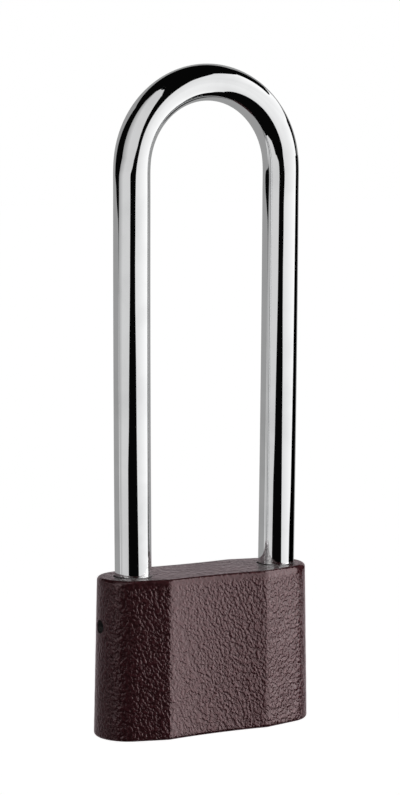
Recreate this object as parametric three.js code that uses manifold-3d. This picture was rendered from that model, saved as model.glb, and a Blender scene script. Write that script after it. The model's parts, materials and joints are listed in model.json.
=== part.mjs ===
// A long-shackle padlock: a drafted cast-iron case, a chromed steel shackle, and a pin-tumbler
// cylinder that throws one bolt into the shackle's toe.
// Millimetres, +Z up. The origin is the centre of the case's flat underside. +X is the toe side,
// -X the heel side, and -Y the front.
import * as THREE from "three";
import { mergeVertices } from "three/addons/utils/BufferGeometryUtils.js";
import Module from "manifold-3d";

const wasm = await Module();
wasm.setup();

// ---- Driving dimensions -------------------------------------------------------------------------

// Case: the outline is measured at the top face, and grows downwards by the casting draft.
const CASE_HEIGHT = 41.5;
const CASE_LENGTH = 60.0;
const END_RADIUS = 8.45;
const HEEL_RIDGE_X = 15.2;
const TOE_RIDGE_X = 13.4;
const RIDGE_HALF_DEPTH = 10.5;
const DISH_SAG = 0.85;
const DRAFT = 0.73;
const EDGE_RADIUS = 0.9;

// Shackle: a round rod bent into a long U. Its legs stand a little wider apart at the bend.
const ROD_RADIUS = 4.75;
const LEG_SPACING = 42.9;
const LEG_SPREAD = 0.65;
const LEG_OFFSET_X = 0.95;
const BEND_CENTRE_Z = 146.1;
const HEEL_END_Z = 8.6;
const TOE_END_Z = 27.5;
const LIFT = 15.5;
const LEG_END_CHAMFER = 1.2;

// Leg bores in the case.
const BORE_CLEARANCE = 0.3;
const HEEL_BORE_FLOOR_Z = 8.3;
const TOE_BORE_FLOOR_Z = 26.4;
const COUNTERSINK = 0.3;

// Retaining pin: driven in through the heel end, it rides in a slot along the heel leg.
const RETAINER_Z = 29.0;
const RETAINER_RADIUS = 1.6;
const RETAINER_RECESS = 1.3;
const RETAINER_BITE = 1.75;
const SLOT_DEPTH = 2.1;
const SLOT_HALF_WIDTH = 1.8;
const SLOT_END_GAP = 0.2;
const RING_HEIGHT = 3.6;

// Cylinder: a round shell with its plug set off towards the heel side.
const SHELL_RADIUS = 7.5;
const SHELL_FIT = 0.2;
const SHELL_FOOT_Z = 0.6;
const SHELL_TOP_Z = 24.6;
const PLUG_X = -1.9;
const PLUG_RADIUS = 4.3;
const PLUG_CLEARANCE = 0.1;
const PLUG_TOP_Z = 27.0;
const FLANGE_RADIUS = 4.9;
const FLANGE_HEIGHT = 1.4;

// Keyway, in the plug's own frame: its blade slot runs towards the pins.
const KEYWAY_HALF_WIDTH = 0.75;
const KEYWAY_LOW = -3.3;
const KEYWAY_HIGH = 2.4;
const KEYWAY_TOP_Z = 21.0;
const WARD_DEPTH = 0.55;

// Five pin stacks, all on the plug's toe side when the plug is in its locked position.
const STACKS = 5;
const FIRST_STACK_Z = 5.2;
const STACK_PITCH = 3.4;
const PIN_RADIUS = 1.25;
const CHAMBER_RADIUS = 1.4;
const KEY_PIN_LENGTHS = [2.6, 3.6, 3.0, 3.9, 3.2];
const KEY_PIN_TIP = 0.8;
const DRIVER_LENGTH = 2.2;
const SPRING_LENGTH = 1.65;
const SPRING_RADIUS = 0.95;
const SPRING_WIRE_RADIUS = 0.14;
const SPRING_COILS = 4;
const COVER_THICKNESS = 0.55;
const COVER_HALF_WIDTH = 1.9;

// Pin that holds the shell in the case, driven in through the toe end under the toe bore.
const SHELL_PIN_Z = 22.6;
const SHELL_PIN_RADIUS = 1.25;
const SHELL_PIN_RECESS = 1.0;
const SHELL_PIN_BITE = 1.8;

// Plug clip, crank and bolt.
const CLIP_THICKNESS = 0.8;
const CLIP_RADIUS = 5.4;
const CLIP_GROOVE_RADIUS = 3.5;
const CRANK_RADIUS = 4.1;
const CRANK_BASE_HEIGHT = 2.0;
const CRANK_THROW = 1.7;
const CRANK_PIN_RADIUS = 1.1;
const TONGUE_HALF_WIDTH = 1.0;
const TONGUE_HEIGHT = 1.3;
const BOLT_BOTTOM_Z = 30.5;
const BOLT_HEIGHT = 6.0;
const BOLT_HALF_WIDTH = 3.1;
const BOLT_CHAMFER = 0.7;
const BOLT_TAIL = 3.6;
const BOLT_TRAVEL = CRANK_THROW * Math.SQRT2;
const YOKE_CLEARANCE = 0.2;
const CHANNEL_CLEARANCE = 0.2;
const NOTCH_DEPTH = 2.3;
const NOTCH_CLEARANCE = 0.3;

// Segments round a circle, and a small gap between pieces that only rest on each other.
const ROUND = 32;
const FINE_ROUND = 16;
const REST_GAP = 0.15;

// Worked out from the above.
const HEEL_X = LEG_OFFSET_X - LEG_SPACING / 2;
const TOE_X = LEG_OFFSET_X + LEG_SPACING / 2;
const BORE_RADIUS = ROD_RADIUS + BORE_CLEARANCE;
const BOLT_NOSE_X = TOE_X - BORE_RADIUS - 0.2;
const CRANK_Z = PLUG_TOP_Z + REST_GAP;
const CRANK_PIN_TOP_Z = BOLT_BOTTOM_Z + BOLT_HEIGHT - 1;
const PIN_BORE_END = PLUG_X + PLUG_RADIUS + PLUG_CLEARANCE;
const OPEN_ANGLE = Math.PI / 2;

// ---- Helpers ------------------------------------------------------------------------------------

// A closed geometry as a manifold-3d solid.
function solidOf(geometry) {
  const bare = geometry.index ? geometry.toNonIndexed() : geometry.clone();
  bare.deleteAttribute("normal");
  bare.deleteAttribute("uv");
  const merged = mergeVertices(bare, 1e-4);
  return new wasm.Manifold(
    new wasm.Mesh({
      numProp: 3,
      vertProperties: new Float32Array(merged.attributes.position.array),
      triVerts: new Uint32Array(merged.index.array),
    }),
  );
}

// A manifold-3d solid as a geometry.
function geometryOf(solid) {
  const mesh = solid.getMesh();
  const geometry = new THREE.BufferGeometry();
  geometry.setAttribute("position", new THREE.BufferAttribute(mesh.vertProperties, 3));
  geometry.setIndex(new THREE.BufferAttribute(mesh.triVerts, 1));
  geometry.computeVertexNormals();
  return geometry;
}

// A cylinder along +Z between two heights; the top radius may differ, for a cone or chamfer.
function rod(x, y, low, high, radius, topRadius = radius, sides = ROUND) {
  const geometry = new THREE.CylinderGeometry(topRadius, radius, high - low, sides);
  geometry.rotateX(Math.PI / 2);
  geometry.translate(x, y, (low + high) / 2);
  return geometry;
}

// A cylinder along +X between two x values, centred on y = 0 at the given height.
function crossRod(low, high, z, radius) {
  const geometry = new THREE.CylinderGeometry(radius, radius, high - low, FINE_ROUND);
  geometry.rotateZ(Math.PI / 2);
  geometry.translate((low + high) / 2, 0, z);
  return geometry;
}

function block(x0, x1, y0, y1, z0, z1) {
  const geometry = new THREE.BoxGeometry(x1 - x0, y1 - y0, z1 - z0);
  geometry.translate((x0 + x1) / 2, (y0 + y1) / 2, (z0 + z1) / 2);
  return geometry;
}

// A base geometry with the others cut away from it.
function cut(base, ...tools) {
  return geometryOf(tools.reduce((solid, tool) => solid.subtract(solidOf(tool)), solidOf(base)));
}

function join(...geometries) {
  return geometryOf(geometries.map(solidOf).reduce((sum, solid) => sum.add(solid)));
}

function mesh(name, geometry, material, x = 0, y = 0, z = 0) {
  const made = new THREE.Mesh(geometry, material);
  made.name = name;
  made.position.set(x, y, z);
  return made;
}

// ---- Materials ----------------------------------------------------------------------------------

const hammeredPaint = new THREE.MeshStandardMaterial({ color: 0x5a3f42, roughness: 0.4, metalness: 0.2 });
const chrome = new THREE.MeshStandardMaterial({ color: 0xdfe1e3, roughness: 0.05, metalness: 1 });
const brass = new THREE.MeshStandardMaterial({ color: 0xc9a65a, roughness: 0.3, metalness: 1 });
const steel = new THREE.MeshStandardMaterial({ color: 0x8d9094, roughness: 0.4, metalness: 1 });
const springSteel = new THREE.MeshStandardMaterial({ color: 0xb0b2b5, roughness: 0.3, metalness: 1 });

// ---- Case ---------------------------------------------------------------------------------------

// Angle at an end arc's centre from +X (or -X) to the point where the straight flank touches the arc.
function endAngle(ridgeX, ridgeY, radius) {
  const along = CASE_LENGTH / 2 - END_RADIUS - ridgeX;
  const flankAngle = Math.asin(radius / Math.hypot(along, ridgeY)) - Math.atan2(ridgeY, along);
  return Math.PI / 2 + flankAngle;
}

// Plan outline of the case, set in by the given amount: round ends, a straight flank rising to a
// ridge, and a shallow dish between the ridges on the front and the back.
function caseOutline(inset) {
  const endX = CASE_LENGTH / 2 - END_RADIUS;
  const radius = END_RADIUS - inset;
  const ridgeY = RIDGE_HALF_DEPTH - inset;
  const toeAngle = endAngle(TOE_RIDGE_X, ridgeY, radius);
  const heelAngle = endAngle(HEEL_RIDGE_X, ridgeY, radius);
  const dishX = (TOE_RIDGE_X - HEEL_RIDGE_X) / 2;
  const halfDish = (TOE_RIDGE_X + HEEL_RIDGE_X) / 2;
  const dishRadius = (halfDish ** 2 + DISH_SAG ** 2) / (2 * DISH_SAG);
  const dishY = ridgeY - DISH_SAG + dishRadius;
  const dishAngle = Math.asin(halfDish / dishRadius);
  const outline = new THREE.Shape();
  outline.absarc(endX, 0, radius, -toeAngle, toeAngle, false);
  outline.lineTo(TOE_RIDGE_X, ridgeY);
  outline.absarc(dishX, dishY, dishRadius, -Math.PI / 2 + dishAngle, -Math.PI / 2 - dishAngle, true);
  outline.absarc(-endX, 0, radius, Math.PI - heelAngle, Math.PI + heelAngle, false);
  outline.lineTo(-HEEL_RIDGE_X, -ridgeY);
  outline.absarc(dishX, -dishY, dishRadius, Math.PI / 2 + dishAngle, Math.PI / 2 - dishAngle, true);
  return outline;
}

// The solid case before its bores: the outline raised with rounded rims, then spread downwards.
function caseBlank() {
  const geometry = new THREE.ExtrudeGeometry(caseOutline(EDGE_RADIUS), {
    depth: CASE_HEIGHT - 2 * EDGE_RADIUS,
    curveSegments: 12,
    bevelEnabled: true,
    bevelSize: EDGE_RADIUS,
    bevelThickness: EDGE_RADIUS,
    bevelSegments: 3,
  });
  geometry.translate(0, 0, EDGE_RADIUS);
  const position = geometry.attributes.position;
  const spreadX = DRAFT / (CASE_LENGTH / 2);
  const spreadY = DRAFT / RIDGE_HALF_DEPTH;
  for (let i = 0; i < position.count; i += 1) {
    const down = 1 - position.getZ(i) / CASE_HEIGHT;
    position.setX(i, position.getX(i) * (1 + spreadX * down));
    position.setY(i, position.getY(i) * (1 + spreadY * down));
  }
  return geometry;
}

// A leg bore with its countersunk mouth.
function legBore(x, floorZ) {
  const mouthZ = CASE_HEIGHT - COUNTERSINK;
  return [
    rod(x, 0, floorZ, CASE_HEIGHT + 1, BORE_RADIUS),
    rod(x, 0, mouthZ, CASE_HEIGHT + 1, BORE_RADIUS, BORE_RADIUS + COUNTERSINK + 1),
  ];
}

function castCase() {
  const beyond = CASE_LENGTH;
  const channelHalf = BOLT_HALF_WIDTH + CHANNEL_CLEARANCE;
  const channelLow = BOLT_BOTTOM_Z - CHANNEL_CLEARANCE;
  const channelHigh = BOLT_BOTTOM_Z + BOLT_HEIGHT + CHANNEL_CLEARANCE;
  const tailX = PLUG_X - BOLT_TAIL - BOLT_TRAVEL / 2 - 2 * CHANNEL_CLEARANCE;
  return cut(
    caseBlank(),
    ...legBore(HEEL_X, HEEL_BORE_FLOOR_Z),
    ...legBore(TOE_X, TOE_BORE_FLOOR_Z),
    rod(0, 0, -1, SHELL_TOP_Z + SHELL_FIT, SHELL_RADIUS + SHELL_FIT),
    rod(PLUG_X, 0, SHELL_TOP_Z - 1, channelLow + 0.5, CLIP_RADIUS + 0.4),
    block(tailX, TOE_X, -channelHalf, channelHalf, channelLow, channelHigh),
    crossRod(-beyond, HEEL_X, RETAINER_Z, RETAINER_RADIUS + REST_GAP),
    crossRod(0, beyond, SHELL_PIN_Z, SHELL_PIN_RADIUS + REST_GAP),
  );
}

// ---- Shackle ------------------------------------------------------------------------------------

// Centreline of the shackle: up the heel leg, round the bend, down the toe leg. A leg is upright in
// its bore and leans out from the case's top to the bend, so it takes two steps of the sweep.
class ShackleLine extends THREE.Curve {
  static LEG_STEPS = 2;
  static BEND_STEPS = 24;
  static STEPS = ShackleLine.BEND_STEPS + 2 * ShackleLine.LEG_STEPS;

  getPoint(t) {
    const fromMiddle = Math.abs(t - 0.5) * ShackleLine.STEPS;
    const down = fromMiddle - ShackleLine.BEND_STEPS / 2;
    const side = t < 0.5 ? -1 : 1;
    const endZ = t < 0.5 ? HEEL_END_Z : TOE_END_Z;
    const bendRadius = LEG_SPACING / 2 + LEG_SPREAD;
    if (down <= 0) {
      const angle = (Math.PI * fromMiddle) / ShackleLine.BEND_STEPS;
      return new THREE.Vector3(
        LEG_OFFSET_X + side * bendRadius * Math.sin(angle),
        0,
        BEND_CENTRE_Z + bendRadius * Math.cos(angle),
      );
    }
    const z = down < 1
      ? THREE.MathUtils.lerp(BEND_CENTRE_Z, CASE_HEIGHT, down)
      : THREE.MathUtils.lerp(CASE_HEIGHT, endZ, down - 1);
    const reach = bendRadius - LEG_SPREAD * Math.min(down, 1);
    return new THREE.Vector3(LEG_OFFSET_X + side * reach, 0, z);
  }

  getUtoTmapping(u) {
    return u;
  }
}

// Cuts a chamfer round the lower end of a leg.
function endChamferTool(x, z) {
  const wide = ROD_RADIUS + 1;
  const outer = rod(x, 0, z - 1, z + LEG_END_CHAMFER, wide);
  const slope = ROD_RADIUS - LEG_END_CHAMFER;
  const inner = rod(x, 0, z - 2, z + LEG_END_CHAMFER, slope - 2, ROD_RADIUS);
  return cut(outer, inner);
}

// The round groove that lets the raised shackle turn past the retaining pin.
function ringGrooveTool(low) {
  const wide = rod(HEEL_X, 0, low, low + RING_HEIGHT, ROD_RADIUS + 1);
  const core = rod(HEEL_X, 0, low - 1, low + RING_HEIGHT + 1, ROD_RADIUS - SLOT_DEPTH);
  return cut(wide, core);
}

function shackle() {
  const section = new THREE.Shape();
  section.absarc(0, 0, ROD_RADIUS, 0, 2 * Math.PI, false);
  const bar = new THREE.ExtrudeGeometry(section, {
    steps: ShackleLine.STEPS,
    extrudePath: new ShackleLine(),
    curveSegments: ROUND / 2,
    bevelEnabled: false,
  });
  const slotTop = RETAINER_Z + RETAINER_RADIUS + SLOT_END_GAP;
  const slotLow = RETAINER_Z - RETAINER_RADIUS - LIFT - SLOT_END_GAP;
  const slotFloorX = HEEL_X - ROD_RADIUS + SLOT_DEPTH;
  const notchX = TOE_X - ROD_RADIUS + NOTCH_DEPTH;
  const notchLow = BOLT_BOTTOM_Z - NOTCH_CLEARANCE;
  const notchHigh = BOLT_BOTTOM_Z + BOLT_HEIGHT + NOTCH_CLEARANCE;
  return cut(
    bar,
    block(slotFloorX - 9, slotFloorX, -SLOT_HALF_WIDTH, SLOT_HALF_WIDTH, slotLow, slotTop),
    ringGrooveTool(slotLow),
    block(notchX - 9, notchX, -9, 9, notchLow, notchHigh),
    endChamferTool(HEEL_X, HEEL_END_Z),
    endChamferTool(TOE_X, TOE_END_Z),
  );
}

// Holds the heel leg in the case: a plain pin whose inner end sits in the leg's slot.
function retainingPin() {
  const tipX = HEEL_X - BORE_RADIUS + RETAINER_BITE;
  const headX = -CASE_LENGTH / 2 + RETAINER_RECESS;
  return crossRod(headX, tipX, RETAINER_Z, RETAINER_RADIUS);
}

// ---- Cylinder shell and its fixed pieces --------------------------------------------------------

function stackZ(index) {
  return FIRST_STACK_Z + index * STACK_PITCH;
}

const COVER_LOW_Z = FIRST_STACK_Z - CHAMBER_RADIUS - 0.5;
const COVER_HIGH_Z = stackZ(STACKS - 1) + CHAMBER_RADIUS + 0.5;
const COVER_OUTER_X = Math.sqrt(SHELL_RADIUS ** 2 - COVER_HALF_WIDTH ** 2) - REST_GAP;
const COVER_INNER_X = COVER_OUTER_X - COVER_THICKNESS;

function cylinderShell() {
  const chambers = Array.from({ length: STACKS }, (unused, i) =>
    crossRod(PLUG_X, SHELL_RADIUS + 1, stackZ(i), CHAMBER_RADIUS),
  );
  return cut(
    rod(0, 0, SHELL_FOOT_Z, SHELL_TOP_Z, SHELL_RADIUS),
    rod(PLUG_X, 0, SHELL_FOOT_Z - 1, SHELL_TOP_Z + 1, PLUG_RADIUS + PLUG_CLEARANCE),
    rod(PLUG_X, 0, SHELL_FOOT_Z - 1, SHELL_FOOT_Z + FLANGE_HEIGHT + REST_GAP, FLANGE_RADIUS + PLUG_CLEARANCE),
    ...chambers,
    block(
      COVER_INNER_X - REST_GAP,
      SHELL_RADIUS + 1,
      -COVER_HALF_WIDTH - REST_GAP,
      COVER_HALF_WIDTH + REST_GAP,
      COVER_LOW_Z - REST_GAP,
      COVER_HIGH_Z + REST_GAP,
    ),
    crossRod(SHELL_RADIUS - SHELL_PIN_BITE - REST_GAP, SHELL_RADIUS + 1, SHELL_PIN_Z, SHELL_PIN_RADIUS + REST_GAP),
  );
}

// The strip that closes the five spring chambers.
function chamberCover() {
  return block(COVER_INNER_X, COVER_OUTER_X, -COVER_HALF_WIDTH, COVER_HALF_WIDTH, COVER_LOW_Z, COVER_HIGH_Z);
}

// Locks the shell in the case from the toe end.
function shellPin() {
  const outerX = CASE_LENGTH / 2 - SHELL_PIN_RECESS;
  return crossRod(SHELL_RADIUS - SHELL_PIN_BITE, outerX, SHELL_PIN_Z, SHELL_PIN_RADIUS);
}

// A driver pin, drawn with its plug end at x = 0.
function driverPin() {
  return crossRod(0, DRIVER_LENGTH, 0, PIN_RADIUS);
}

// A helix along +X with its first turn at x = 0.
class SpringLine extends THREE.Curve {
  getPoint(t) {
    const angle = 2 * Math.PI * SPRING_COILS * t;
    const run = SPRING_LENGTH - 2 * SPRING_WIRE_RADIUS;
    return new THREE.Vector3(
      SPRING_WIRE_RADIUS + run * t,
      SPRING_RADIUS * Math.cos(angle),
      SPRING_RADIUS * Math.sin(angle),
    );
  }
}

function pinSpring() {
  const wire = new THREE.Shape();
  wire.absarc(0, 0, SPRING_WIRE_RADIUS, 0, 2 * Math.PI, false);
  return new THREE.ExtrudeGeometry(wire, {
    steps: SPRING_COILS * 12,
    extrudePath: new SpringLine(),
    curveSegments: 3,
    bevelEnabled: false,
  });
}

// ---- Plug and what turns with it, drawn in the plug's own frame ---------------------------------

// Key pins point along +X in this frame, and the keyway opens below them.
function cylinderPlug() {
  const chambers = Array.from({ length: STACKS }, (unused, i) =>
    crossRod(0.4, PLUG_RADIUS + 1, stackZ(i), CHAMBER_RADIUS),
  );
  const clipLow = SHELL_TOP_Z + REST_GAP;
  const clipHigh = clipLow + CLIP_THICKNESS + REST_GAP;
  const keywayFoot = SHELL_FOOT_Z - 1;
  const wardTop = KEYWAY_HALF_WIDTH + WARD_DEPTH;
  const body = join(
    rod(0, 0, SHELL_FOOT_Z, PLUG_TOP_Z, PLUG_RADIUS),
    rod(0, 0, SHELL_FOOT_Z, SHELL_FOOT_Z + FLANGE_HEIGHT, FLANGE_RADIUS),
  );
  return cut(
    body,
    block(KEYWAY_LOW, KEYWAY_HIGH, -KEYWAY_HALF_WIDTH, KEYWAY_HALF_WIDTH, keywayFoot, KEYWAY_TOP_Z),
    block(KEYWAY_LOW + 0.6, KEYWAY_LOW + 2.1, 0, wardTop, keywayFoot, KEYWAY_TOP_Z),
    block(KEYWAY_LOW + 3.2, KEYWAY_LOW + 4.5, -wardTop, 0, keywayFoot, KEYWAY_TOP_Z),
    ...chambers,
    cut(
      rod(0, 0, clipLow, clipHigh, PLUG_RADIUS + 1),
      rod(0, 0, clipLow - 1, clipHigh + 1, CLIP_GROOVE_RADIUS),
    ),
    block(
      -PLUG_RADIUS - 1,
      PLUG_RADIUS + 1,
      -TONGUE_HALF_WIDTH - PLUG_CLEARANCE,
      TONGUE_HALF_WIDTH + PLUG_CLEARANCE,
      PLUG_TOP_Z - TONGUE_HEIGHT - REST_GAP,
      PLUG_TOP_Z + 1,
    ),
  );
}

// A key pin with its outer end at x = 0 and its cone pointing along -X.
function keyPin(length) {
  const profile = [
    new THREE.Vector2(0, -length),
    new THREE.Vector2(0.35, -length),
    new THREE.Vector2(PIN_RADIUS, -length + KEY_PIN_TIP),
    new THREE.Vector2(PIN_RADIUS, 0),
    new THREE.Vector2(0, 0),
  ];
  const geometry = new THREE.LatheGeometry(profile, FINE_ROUND);
  geometry.rotateZ(-Math.PI / 2);
  return geometry;
}

// The C-shaped clip that stops the plug from being drawn out.
function plugClip() {
  const inner = CLIP_GROOVE_RADIUS + PLUG_CLEARANCE;
  const gap = THREE.MathUtils.degToRad(28);
  const shape = new THREE.Shape();
  shape.absarc(0, 0, CLIP_RADIUS, gap, 2 * Math.PI - gap, false);
  shape.absarc(0, 0, inner, 2 * Math.PI - gap, gap, true);
  const geometry = new THREE.ExtrudeGeometry(shape, {
    depth: CLIP_THICKNESS,
    curveSegments: 24,
    bevelEnabled: false,
  });
  geometry.rotateZ(-Math.PI / 2);
  return geometry;
}

// The crank: a disc with a tongue in the plug's end slot, and an off-centre pin for the bolt.
// The pin stands 45 degrees off +X, so that a quarter turn carries it evenly past the centre.
function crank() {
  const reach = CRANK_THROW / Math.SQRT2;
  return join(
    rod(0, 0, CRANK_Z, CRANK_Z + CRANK_BASE_HEIGHT, CRANK_RADIUS),
    block(-3.6, 3.6, -TONGUE_HALF_WIDTH, TONGUE_HALF_WIDTH, PLUG_TOP_Z - TONGUE_HEIGHT, CRANK_Z + 0.5),
    rod(reach, reach, CRANK_Z + 1, CRANK_PIN_TOP_Z, CRANK_PIN_RADIUS, CRANK_PIN_RADIUS, FINE_ROUND),
  );
}

// ---- Bolt ---------------------------------------------------------------------------------------

// A square bar with a chamfered nose at the toe end and a cross slot for the crank pin.
function lockBolt() {
  const tailX = PLUG_X - BOLT_TRAVEL / 2 - BOLT_TAIL;
  const pinX = PLUG_X - BOLT_TRAVEL / 2;
  const slotHalf = CRANK_PIN_RADIUS + YOKE_CLEARANCE;
  const outline = new THREE.Shape();
  outline.moveTo(tailX, -BOLT_HALF_WIDTH);
  outline.lineTo(BOLT_NOSE_X - BOLT_CHAMFER, -BOLT_HALF_WIDTH);
  outline.lineTo(BOLT_NOSE_X, -BOLT_HALF_WIDTH + BOLT_CHAMFER);
  outline.lineTo(BOLT_NOSE_X, BOLT_HALF_WIDTH - BOLT_CHAMFER);
  outline.lineTo(BOLT_NOSE_X - BOLT_CHAMFER, BOLT_HALF_WIDTH);
  outline.lineTo(tailX, BOLT_HALF_WIDTH);
  const bar = new THREE.ExtrudeGeometry(outline, { depth: BOLT_HEIGHT, bevelEnabled: false });
  bar.translate(0, 0, BOLT_BOTTOM_Z);
  return cut(
    bar,
    block(pinX - slotHalf, pinX + slotHalf, -0.5, BOLT_HALF_WIDTH + 1, BOLT_BOTTOM_Z - 1, CRANK_PIN_TOP_Z + 0.3),
  );
}

// ---- Assembly -----------------------------------------------------------------------------------

// What is fixed in the case.
function caseGroup() {
  const group = new THREE.Group();
  group.add(
    mesh("cast_case", castCase(), hammeredPaint),
    mesh("shackle_retaining_pin", retainingPin(), steel),
    mesh("cylinder_shell", cylinderShell(), brass),
    mesh("cylinder_retaining_pin", shellPin(), steel),
    mesh("spring_chamber_cover", chamberCover(), brass),
  );
  for (let i = 0; i < STACKS; i += 1) {
    const driverX = PIN_BORE_END + 0.05;
    const springX = driverX + DRIVER_LENGTH + 0.05;
    group.add(
      mesh(`driver_pin_${i + 1}`, driverPin(), brass, driverX, 0, stackZ(i)),
      mesh(`pin_spring_${i + 1}`, pinSpring(), springSteel, springX, 0, stackZ(i)),
    );
  }
  return group;
}

// What turns with the key. At rest the plug stands in its open position, a quarter turn from the
// one where the key goes in, so the bolt is drawn back.
function plugGroup() {
  const group = new THREE.Group();
  group.position.x = PLUG_X;
  group.rotation.z = OPEN_ANGLE;
  group.add(
    mesh("cylinder_plug", cylinderPlug(), brass),
    mesh("plug_clip", plugClip(), springSteel, 0, 0, SHELL_TOP_Z + 1.5 * REST_GAP),
    mesh("crank", crank(), steel),
  );
  KEY_PIN_LENGTHS.forEach((length, i) => {
    group.add(mesh(`key_pin_${i + 1}`, keyPin(length), brass, PLUG_RADIUS - 0.05, 0, stackZ(i)));
  });
  return group;
}

const padlock = new THREE.Group();
padlock.add(caseGroup(), plugGroup(), mesh("shackle", shackle(), chrome), mesh("lock_bolt", lockBolt(), steel));

export default padlock;
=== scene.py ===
# %% [markdown]
# # A long-shackle padlock in hammered paint and chrome
#
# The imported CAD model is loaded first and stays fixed. The case, the shackle and the cylinder are then
# rebuilt here as finer surfaces, and each rides on the CAD body that it belongs to. Lengths are in metres,
# with Z up, the front towards -Y, the heel leg towards -X and the toe leg towards +X.

# %% Load the frame
import json
import math

import bpy
import numpy as np
from mathutils import Matrix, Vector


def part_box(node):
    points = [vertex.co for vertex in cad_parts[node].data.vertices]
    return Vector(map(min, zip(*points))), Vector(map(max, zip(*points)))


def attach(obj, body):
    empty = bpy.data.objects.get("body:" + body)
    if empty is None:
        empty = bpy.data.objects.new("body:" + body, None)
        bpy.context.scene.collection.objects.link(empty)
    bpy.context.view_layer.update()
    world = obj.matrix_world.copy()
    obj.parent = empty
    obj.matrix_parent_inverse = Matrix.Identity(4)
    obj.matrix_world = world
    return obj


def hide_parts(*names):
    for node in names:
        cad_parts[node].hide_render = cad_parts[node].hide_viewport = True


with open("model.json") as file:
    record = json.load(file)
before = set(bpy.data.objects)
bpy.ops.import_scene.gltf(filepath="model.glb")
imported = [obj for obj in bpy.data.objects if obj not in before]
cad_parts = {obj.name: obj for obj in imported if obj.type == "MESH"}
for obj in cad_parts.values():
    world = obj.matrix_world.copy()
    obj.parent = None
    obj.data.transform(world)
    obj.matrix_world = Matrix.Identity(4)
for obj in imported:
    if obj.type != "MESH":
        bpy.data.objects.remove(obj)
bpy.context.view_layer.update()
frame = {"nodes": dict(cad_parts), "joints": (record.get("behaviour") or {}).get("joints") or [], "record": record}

MM = 0.001

# %% [markdown]
# ## Sizes
#
# The driving sizes come from the CAD boxes, so that the fine pieces follow the frame. The rest are small
# finishing sizes, such as the softness of a cast edge.

# %% Sizes read from the frame
case_low, case_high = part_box("cast_case")
shackle_low, shackle_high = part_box("shackle")
CASE_TOP = case_high.z
DRAFT = 0.73 * MM
HALF_LENGTH = case_high.x - DRAFT
RIDGE_HALF_DEPTH = case_high.y - DRAFT
END_RADIUS = 8.45 * MM
HEEL_RIDGE_X = 15.2 * MM
TOE_RIDGE_X = 13.4 * MM
DISH_SAG = 0.85 * MM
RIM_RADIUS = 0.9 * MM
ROD_RADIUS = (shackle_high.y - shackle_low.y) / 2
LEG_SPREAD = 0.65 * MM
BEND_RADIUS = (shackle_high.x - shackle_low.x) / 2 - ROD_RADIUS
SHACKLE_X = (shackle_high.x + shackle_low.x) / 2
BEND_Z = shackle_high.z - ROD_RADIUS - BEND_RADIUS
LEG_REACH = BEND_RADIUS - LEG_SPREAD
HEEL_X, TOE_X = SHACKLE_X - LEG_REACH, SHACKLE_X + LEG_REACH
RETAINING_PINS = ("shackle_retaining_pin", "cylinder_retaining_pin")
plug_axis_x = frame["record"]["behaviour"]["joints"][1]["pos_m"][0]
print(f"case {2e3 * case_high.x:.1f} long, {1e3 * CASE_TOP:.1f} high; bend centre at {1e3 * BEND_Z:.1f}")

# %% [markdown]
# ## The camera
#
# A long lens from the heel side and a little above the middle of the shackle keeps the legs almost
# parallel. The aim is given as a heading, a dip and a small tilt, and the small shift puts the optical
# centre above the middle of the tall frame.

# %% Camera
CAMERA_PLACE = (-0.3458, -0.6097, 0.1651)
HEADING, DIP, TILT = (math.radians(angle) for angle in (29.738, 5.164, 0.269))


def camera_axes(heading, dip, tilt):
    """Right, up and backward unit vectors: the level pair is turned by the heading and the dip, and then
    tilted about the line of sight."""
    forward = np.array([math.sin(heading) * math.cos(dip), math.cos(heading) * math.cos(dip), -math.sin(dip)])
    level = np.array([math.cos(heading), -math.sin(heading), 0])
    upright = np.cross(level, forward)
    right = math.cos(tilt) * level + math.sin(tilt) * upright
    return right, np.cross(right, forward), -forward


camera_data = bpy.data.cameras.new("camera")
camera_data.lens = 122.85
camera_data.sensor_width = 36
camera_data.shift_x = -0.0149
camera_data.shift_y = -0.0731
camera = bpy.data.objects.new("camera", camera_data)
bpy.context.scene.collection.objects.link(camera)
axes = np.column_stack(camera_axes(HEADING, DIP, TILT))
camera.matrix_world = Matrix.Translation(CAMERA_PLACE) @ Matrix(axes.tolist()).to_4x4()
bpy.context.scene.camera = camera
print("camera at", CAMERA_PLACE)

# %% [markdown]
# ## Meshes from whole arrays
#
# Every shape below is a table of points worked out at once: rows along one direction and columns along
# the other. One helper joins neighbouring rows with four-sided faces, wraps the columns round, and closes
# both ends with a single face, so that each piece is a sealed skin with its faces pointing out.


# %% Helpers that turn points into objects
def link(mesh, name):
    """A new object for the mesh, at the origin."""
    made = bpy.data.objects.new(name, mesh)
    bpy.context.scene.collection.objects.link(made)
    return made


def tube_faces(rows, columns):
    """Faces of a closed tube. Point k of row r has the number r * columns + k, and a face joins points k
    and k + 1 of row r to the same two of row r + 1. The first and the last row are closed by one face."""
    k = np.arange(columns)
    after = (k + 1) % columns
    start = (np.arange(rows - 1) * columns)[:, None]
    sides = np.stack([start + k, start + after, start + columns + after, start + columns + k], axis=2)
    return sides.reshape(-1, 4).tolist() + [k[::-1].tolist(), (k + (rows - 1) * columns).tolist()]


def tube(name, points):
    """An object from an array of points with the shape rows x columns x 3."""
    rows, columns = points.shape[:2]
    mesh = bpy.data.meshes.new(name)
    mesh.from_pydata(points.reshape(-1, 3).tolist(), [], tube_faces(rows, columns))
    mesh.update()
    return link(mesh, name)


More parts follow.
